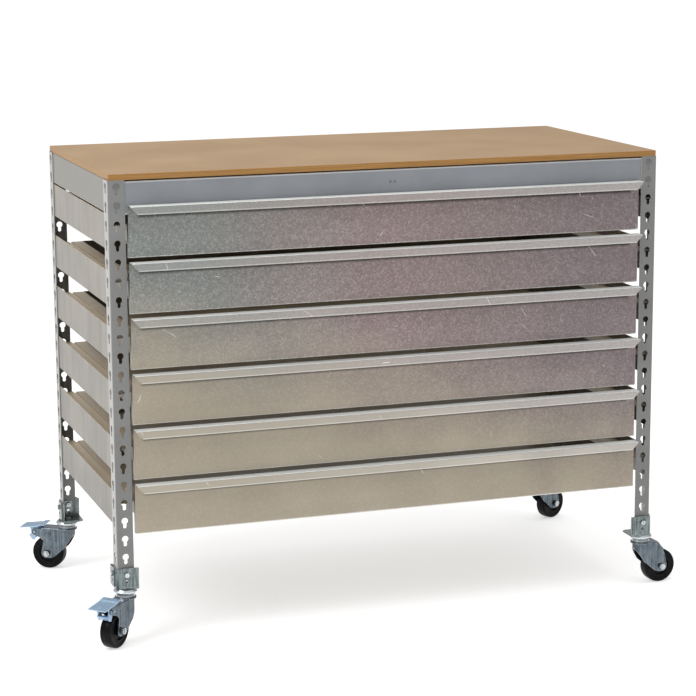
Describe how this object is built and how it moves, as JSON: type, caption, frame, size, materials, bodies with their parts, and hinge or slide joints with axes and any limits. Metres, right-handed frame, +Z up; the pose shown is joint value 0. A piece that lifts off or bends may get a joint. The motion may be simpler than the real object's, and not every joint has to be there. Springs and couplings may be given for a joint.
{
  "type": "workbench with drawers",
  "caption": "Rolling workbench with a board top on keyhole-slotted angle posts, stacked sheet-metal drawers on side rails, and swivel castors, braked at the left.",
  "frame": {"origin": "centre of the footprint box on the floor, castors as they stand at rest", "axes": "+X to the right along the bench, drawers open towards -Y, +Z up"},
  "size_m": [1.3618, 0.715, 0.967],
  "materials": {
    "board": "raw pressed board, light tan face and browner edges",
    "painted_steel": "satin grey",
    "galvanised_sheet": "galvanised, soft spangle and streaks",
    "zinc_plate": "bright bluish zinc plating",
    "tyre": "black, slightly glossy",
    "hub": "black"
  },
  "bodies": {
    "frame": {"worktop": "board", "post_front_left": "painted_steel", "post_front_right": "painted_steel", "post_rear_left": "painted_steel", "post_rear_right": "painted_steel", "beam_front": "painted_steel", "beam_rear": "painted_steel", "side_beam_left": "painted_steel", "side_beam_right": "painted_steel", "centre_tie": "painted_steel", "rail_left_1": "galvanised_sheet", "rail_right_1": "galvanised_sheet", "rail_left_2": "galvanised_sheet", "rail_right_2": "galvanised_sheet", "rail_left_3": "galvanised_sheet", "rail_right_3": "galvanised_sheet", "rail_left_4": "galvanised_sheet", "rail_right_4": "galvanised_sheet", "rail_left_5": "galvanised_sheet", "rail_right_5": "galvanised_sheet", "rail_left_6": "galvanised_sheet", "rail_right_6": "galvanised_sheet", "studs_and_rivets": "zinc_plate", "castor_bracket_front_left": "zinc_plate", "castor_bracket_front_right": "zinc_plate", "castor_bracket_rear_left": "zinc_plate", "castor_bracket_rear_right": "zinc_plate", "castor_clamp_plates": "zinc_plate", "castor_bracket_bolts": "zinc_plate", "kingpins": "zinc_plate"},
    "drawer_1": {"drawer_front_1": "galvanised_sheet", "drawer_tray_1": "galvanised_sheet"},
    "drawer_2": {"drawer_front_2": "galvanised_sheet", "drawer_tray_2": "galvanised_sheet"},
    "drawer_3": {"drawer_front_3": "galvanised_sheet", "drawer_tray_3": "galvanised_sheet"},
    "drawer_4": {"drawer_front_4": "galvanised_sheet", "drawer_tray_4": "galvanised_sheet"},
    "drawer_5": {"drawer_front_5": "galvanised_sheet", "drawer_tray_5": "galvanised_sheet"},
    "drawer_6": {"drawer_front_6": "galvanised_sheet", "drawer_tray_6": "galvanised_sheet"},
    "swivel_front_left": {"fork_front_left": "zinc_plate", "axle_front_left": "zinc_plate"},
    "wheel_front_left": {"tyre_front_left": "tyre", "hub_front_left": "hub"},
    "pedal_front_left": {"brake_pedal_front_left": "zinc_plate"},
    "swivel_front_right": {"fork_front_right": "zinc_plate", "axle_front_right": "zinc_plate"},
    "wheel_front_right": {"tyre_front_right": "tyre", "hub_front_right": "hub"},
    "swivel_rear_left": {"fork_rear_left": "zinc_plate", "axle_rear_left": "zinc_plate"},
    "wheel_rear_left": {"tyre_rear_left": "tyre", "hub_rear_left": "hub"},
    "pedal_rear_left": {"brake_pedal_rear_left": "zinc_plate"},
    "swivel_rear_right": {"fork_rear_right": "zinc_plate", "axle_rear_right": "zinc_plate"},
    "wheel_rear_right": {"tyre_rear_right": "tyre", "hub_rear_right": "hub"}
  },
  "joints": [
    {"name": "drawer_1_slide", "type": "slide", "parent": "frame", "child": "drawer_1", "axis": [0, -1, 0], "range_m": [0, 0.4]},
    {"name": "drawer_2_slide", "type": "slide", "parent": "frame", "child": "drawer_2", "axis": [0, -1, 0], "range_m": [0, 0.4]},
    {"name": "drawer_3_slide", "type": "slide", "parent": "frame", "child": "drawer_3", "axis": [0, -1, 0], "range_m": [0, 0.4]},
    {"name": "drawer_4_slide", "type": "slide", "parent": "frame", "child": "drawer_4", "axis": [0, -1, 0], "range_m": [0, 0.4]},
    {"name": "drawer_5_slide", "type": "slide", "parent": "frame", "child": "drawer_5", "axis": [0, -1, 0], "range_m": [0, 0.4]},
    {"name": "drawer_6_slide", "type": "slide", "parent": "frame", "child": "drawer_6", "axis": [0, -1, 0], "range_m": [0, 0.4]},
    {"name": "swivel_front_left_turn", "type": "hinge", "parent": "frame", "child": "swivel_front_left", "pos_m": [-0.57197, -0.26803, 0.114], "axis": [0, 0, 1], "continuous": true},
    {"name": "wheel_front_left_roll", "type": "hinge", "parent": "swivel_front_left", "child": "wheel_front_left", "pos_m": [-0.60362, -0.29859, 0.0375], "axis": [0.6947, -0.7193, 0], "continuous": true},
    {"name": "brake_front_left_press", "type": "hinge", "parent": "swivel_front_left", "child": "pedal_front_left", "pos_m": [-0.62376, -0.31804, 0.087], "axis": [0.6947, -0.7193, 0], "range_deg": [0, 12]},
    {"name": "swivel_front_right_turn", "type": "hinge", "parent": "frame", "child": "swivel_front_right", "pos_m": [0.59903, -0.26103, 0.114], "axis": [0, 0, 1], "continuous": true},
    {"name": "wheel_front_right_roll", "type": "hinge", "parent": "swivel_front_right", "child": "wheel_front_right", "pos_m": [0.64293, -0.25796, 0.0375], "axis": [-0.0698, 0.9976, 0], "continuous": true},
    {"name": "swivel_rear_left_turn", "type": "hinge", "parent": "frame", "child": "swivel_rear_left", "pos_m": [-0.57897, 0.28297, 0.114], "axis": [0, 0, 1], "continuous": true},
    {"name": "wheel_rear_left_roll", "type": "hinge", "parent": "swivel_rear_left", "child": "wheel_rear_left", "pos_m": [-0.61628, 0.30629, 0.0375], "axis": [-0.5299, -0.848, 0], "continuous": true},
    {"name": "brake_rear_left_press", "type": "hinge", "parent": "swivel_rear_left", "child": "pedal_rear_left", "pos_m": [-0.64003, 0.32113, 0.087], "axis": [-0.5299, -0.848, 0], "range_deg": [0, 12]},
    {"name": "swivel_rear_right_turn", "type": "hinge", "parent": "frame", "child": "swivel_rear_right", "pos_m": [0.59203, 0.28997, 0.114], "axis": [0, 0, 1], "continuous": true},
    {"name": "wheel_rear_right_roll", "type": "hinge", "parent": "swivel_rear_right", "child": "wheel_rear_right", "pos_m": [0.63191, 0.30857, 0.0375], "axis": [-0.4226, 0.9063, 0], "continuous": true}
  ]
}
